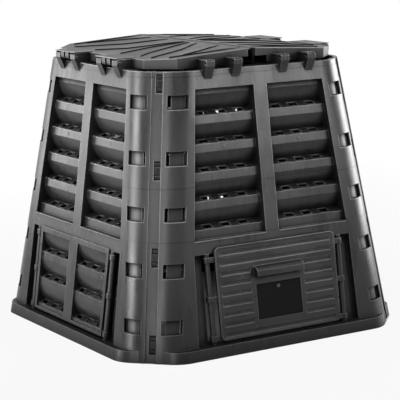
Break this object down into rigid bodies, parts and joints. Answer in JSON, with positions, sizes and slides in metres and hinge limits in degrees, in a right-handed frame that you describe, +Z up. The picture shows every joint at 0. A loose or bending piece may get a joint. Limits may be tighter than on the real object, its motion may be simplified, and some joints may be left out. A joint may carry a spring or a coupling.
{
  "type": "compost bin with lid",
  "caption": "Square garden compost bin of leaning louvred plastic walls, with a two-leaf lid and a hinged door at the foot of the front.",
  "frame": {"origin": "centre of the bin's footprint, on the ground", "axes": "+Z up, -Y out of the front wall with the door, +X to the right seen from the front"},
  "size_m": [0.896, 0.896, 0.786],
  "materials": {
    "wall_plastic": "satin",
    "clip_plastic": "satin",
    "vent_plastic": "satin",
    "rod_plastic": "satin",
    "pin_plastic": "satin",
    "door_plastic": "satin",
    "lid_plastic": "satin"
  },
  "bodies": {
    "bin": {"wall_front": "wall_plastic", "wall_right": "wall_plastic", "wall_back": "wall_plastic", "wall_left": "wall_plastic", "clips_front_left": "clip_plastic", "clips_front_right": "clip_plastic", "clips_back_right": "clip_plastic", "clips_back_left": "clip_plastic", "vent_right": "vent_plastic", "rods_right": "rod_plastic", "vent_back": "vent_plastic", "rods_back": "rod_plastic", "vent_left": "vent_plastic", "rods_left": "rod_plastic", "door_hinge_rod": "rod_plastic", "door_latch_rod": "rod_plastic", "lid_pins_right": "pin_plastic", "lid_pins_left": "pin_plastic"},
    "right_lid": {"lid_right": "lid_plastic"},
    "left_lid": {"lid_left": "lid_plastic"},
    "door": {"door": "door_plastic"}
  },
  "joints": [
    {"name": "right_lid_hinge", "type": "hinge", "parent": "bin", "child": "right_lid", "pos_m": [0.33802, 0, 0.757], "axis": [0, 1, 0], "range_deg": [0, 100]},
    {"name": "left_lid_hinge", "type": "hinge", "parent": "bin", "child": "left_lid", "pos_m": [-0.33802, 0, 0.757], "axis": [0, -1, 0], "range_deg": [0, 100]},
    {"name": "door_hinge", "type": "hinge", "parent": "bin", "child": "door", "pos_m": [0.212, -0.4039, 0.15012], "axis": [0, 0.1357, 0.9907], "range_deg": [0, 110]}
  ]
}
